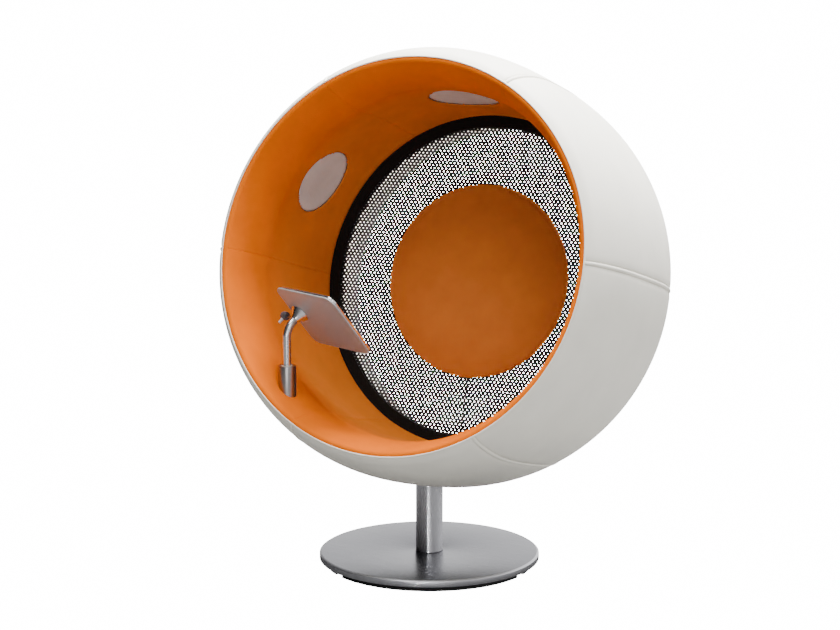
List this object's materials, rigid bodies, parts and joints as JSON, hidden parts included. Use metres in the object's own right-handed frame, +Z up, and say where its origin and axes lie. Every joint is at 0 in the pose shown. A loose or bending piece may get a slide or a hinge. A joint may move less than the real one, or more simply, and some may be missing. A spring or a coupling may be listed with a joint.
{
  "type": "pod chair",
  "caption": "Ball-shaped listening chair on a swivel stand: padded lining, rear net with round back pad, built-in loudspeakers and a touch screen on a swinging arm.",
  "frame": {"origin": "Floor level, on the axis of the stand and of the pod's swivel.", "axes": "+Z is up. The pod's opening faces -Y and looks up a little. +X is at the right of someone who looks into the opening."},
  "size_m": [1.4334, 1.1365, 1.7082],
  "materials": {
    "leather_shell": "semi-matt",
    "leather_lining": "soft matt",
    "net_black": "matt",
    "grille_cloth": "matt",
    "ply": "raw",
    "shell_moulding": "raw",
    "black_metal": "satin",
    "base_metal": "satin",
    "column_steel": "brushed",
    "polished_steel": "polished",
    "steel_hidden": "machined",
    "rubber_black": "matt",
    "bush_nylon": "natural",
    "alu_back": "brushed",
    "screen_glass": "gloss",
    "speaker_black": "matt",
    "amp_case": "anodised",
    "lever_grey": "satin",
    "lead_black": "matt"
  },
  "bodies": {
    "stand": {"base_plate": "base_metal", "base_feet": "rubber_black", "base_bolts": "steel_hidden", "base_grommet": "rubber_black", "column_tube": "column_steel", "column_foot": "steel_hidden", "column_cap": "steel_hidden", "spindle": "steel_hidden", "spindle_nut": "steel_hidden", "thrust_bearing": "steel_hidden"},
    "pod": {"bearing_hub": "steel_hidden", "hub_bushes": "bush_nylon", "hub_bolts": "steel_hidden", "cradle": "steel_hidden", "outer_shell": "shell_moulding", "inner_shell": "shell_moulding", "front_hoop": "ply", "rear_hoop": "ply", "rear_bulkhead": "black_metal", "recess_liner": "leather_shell", "cover_panel_1": "leather_shell", "cover_panel_2": "leather_shell", "cover_panel_3": "leather_shell", "cover_panel_4": "leather_shell", "cover_panel_5": "leather_shell", "cover_panel_6": "leather_shell", "cover_strips": "leather_shell", "front_welt": "leather_shell", "lining_panel_1": "leather_lining", "lining_panel_2": "leather_lining", "lining_panel_3": "leather_lining", "lining_panel_4": "leather_lining", "lining_panel_5": "leather_lining", "lining_panel_6": "leather_lining", "clamp_ring": "black_metal", "net": "net_black", "ring_screws": "steel_hidden", "back_pad": "leather_lining", "pad_board": "ply", "pad_back": "speaker_black", "pad_exciters": "speaker_black", "pad_bolts": "steel_hidden", "pad_lead": "lead_black", "speaker_grilles": "grille_cloth", "speaker_drivers": "speaker_black", "speaker_cans": "speaker_black", "amplifier": "amp_case", "amp_tray": "steel_hidden", "arm_foot": "ply", "arm_socket": "polished_steel", "arm_bushes": "bush_nylon"},
    "arm": {"arm_tube": "polished_steel", "arm_spigot": "polished_steel"},
    "screen": {"screen_bell": "polished_steel", "screen_back": "alu_back", "screen_glass": "screen_glass"},
    "lever": {"lever_hub": "lever_grey", "lever_stud": "steel_hidden", "lever_arm": "lever_grey"}
  },
  "joints": [
    {"name": "pod_swivel", "type": "hinge", "parent": "stand", "child": "pod", "pos_m": [0, 0, 0.3], "axis": [0, 0, 1], "continuous": true},
    {"name": "arm_swivel", "type": "hinge", "parent": "pod", "child": "arm", "pos_m": [-0.381, -0.276, 0.6], "axis": [0, 0, 1], "range_deg": [-90, 30]},
    {"name": "screen_turn", "type": "hinge", "parent": "arm", "child": "screen", "pos_m": [-0.36916, -0.24902, 0.8291], "axis": [0.3097, 0.7055, 0.6374], "range_deg": [-90, 15]},
    {"name": "lever_turn", "type": "hinge", "parent": "screen", "child": "lever", "pos_m": [-0.3663, -0.24251, 0.835], "axis": [-0.9157, 0.4019, 0], "range_deg": [-60, 60]}
  ]
}
